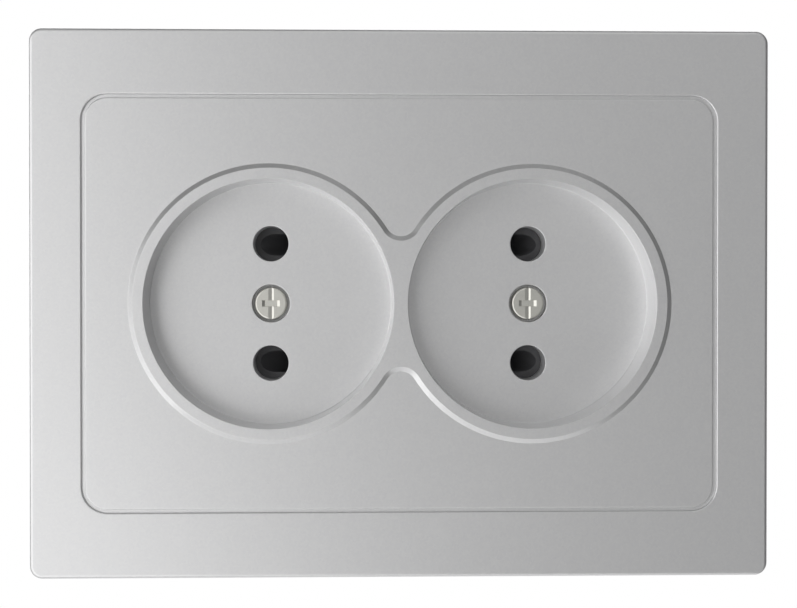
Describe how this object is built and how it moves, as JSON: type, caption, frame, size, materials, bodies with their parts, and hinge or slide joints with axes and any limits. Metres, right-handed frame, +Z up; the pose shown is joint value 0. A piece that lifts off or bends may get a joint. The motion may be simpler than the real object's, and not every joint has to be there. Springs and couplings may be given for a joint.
{
  "type": "double wall socket",
  "caption": "Flush double wall socket with round dishes in a figure-eight collar, sliding pin shutters, a rectangular frame, a moulded base and spreading box claws.",
  "frame": {"origin": "middle of the socket on the wall's surface, between the two box screws", "axes": "+X to the right seen from the room, +Z up, +Y into the wall, so the face looks along -Y"},
  "size_m": [0.115, 0.0361, 0.0852],
  "materials": {
    "silver_paint": "satin silver metallic paint on moulded plastic",
    "black_plastic": "moulded, matt",
    "carrier_plastic": "moulded, matt",
    "base_plastic": "moulded, satin",
    "screw_steel": "nickel plated",
    "sheet_steel": "zinc plated",
    "spring_steel": "drawn wire",
    "brass": "rolled strip"
  },
  "bodies": {
    "socket": {"outer_frame": "silver_paint", "front_plate": "silver_paint", "cover_screws": "screw_steel", "shutter_carrier": "carrier_plastic", "carrier_screws": "screw_steel", "left_shutter_spring": "spring_steel", "right_shutter_spring": "spring_steel", "base": "base_plastic", "cover_inserts": "brass", "upper_busbar": "brass", "lower_busbar": "brass", "contact_clips": "spring_steel", "terminal_clamps": "sheet_steel", "terminal_screws": "screw_steel", "support_plate": "sheet_steel", "base_rivets": "screw_steel", "claw_screws": "screw_steel"},
    "left_shutter": {"left_shutter": "black_plastic"},
    "right_shutter": {"right_shutter": "black_plastic"},
    "upper_claw_nut": {"upper_claw_nut": "screw_steel"},
    "upper_claw": {"upper_claw": "sheet_steel"},
    "lower_claw_nut": {"lower_claw_nut": "screw_steel"},
    "lower_claw": {"lower_claw": "sheet_steel"}
  },
  "joints": [
    {"name": "left_shutter_slide", "type": "slide", "parent": "socket", "child": "left_shutter", "axis": [-1, 0, 0], "range_m": [0, 0.0055], "stiffness_N_per_m": 200, "springref_m": -0.003, "deforming": ["left_shutter_spring"]},
    {"name": "right_shutter_slide", "type": "slide", "parent": "socket", "child": "right_shutter", "axis": [1, 0, 0], "range_m": [0, 0.0055], "stiffness_N_per_m": 200, "springref_m": -0.003, "deforming": ["right_shutter_spring"]},
    {"name": "upper_claw_nut_slide", "type": "slide", "parent": "socket", "child": "upper_claw_nut", "axis": [0, -1, 0], "range_m": [0, 0.008]},
    {"name": "upper_claw_slide", "type": "slide", "parent": "socket", "child": "upper_claw", "axis": [0, -0.9231, 0.3846], "range_m": [0, 0.00867]},
    {"name": "lower_claw_nut_slide", "type": "slide", "parent": "socket", "child": "lower_claw_nut", "axis": [0, -1, 0], "range_m": [0, 0.008]},
    {"name": "lower_claw_slide", "type": "slide", "parent": "socket", "child": "lower_claw", "axis": [0, -0.9231, -0.3846], "range_m": [0, 0.00867]}
  ],
  "couplings": [
    {"joint": "upper_claw_slide", "follows": "upper_claw_nut_slide", "ratio": 1.0833},
    {"joint": "lower_claw_slide", "follows": "lower_claw_nut_slide", "ratio": 1.0833}
  ]
}
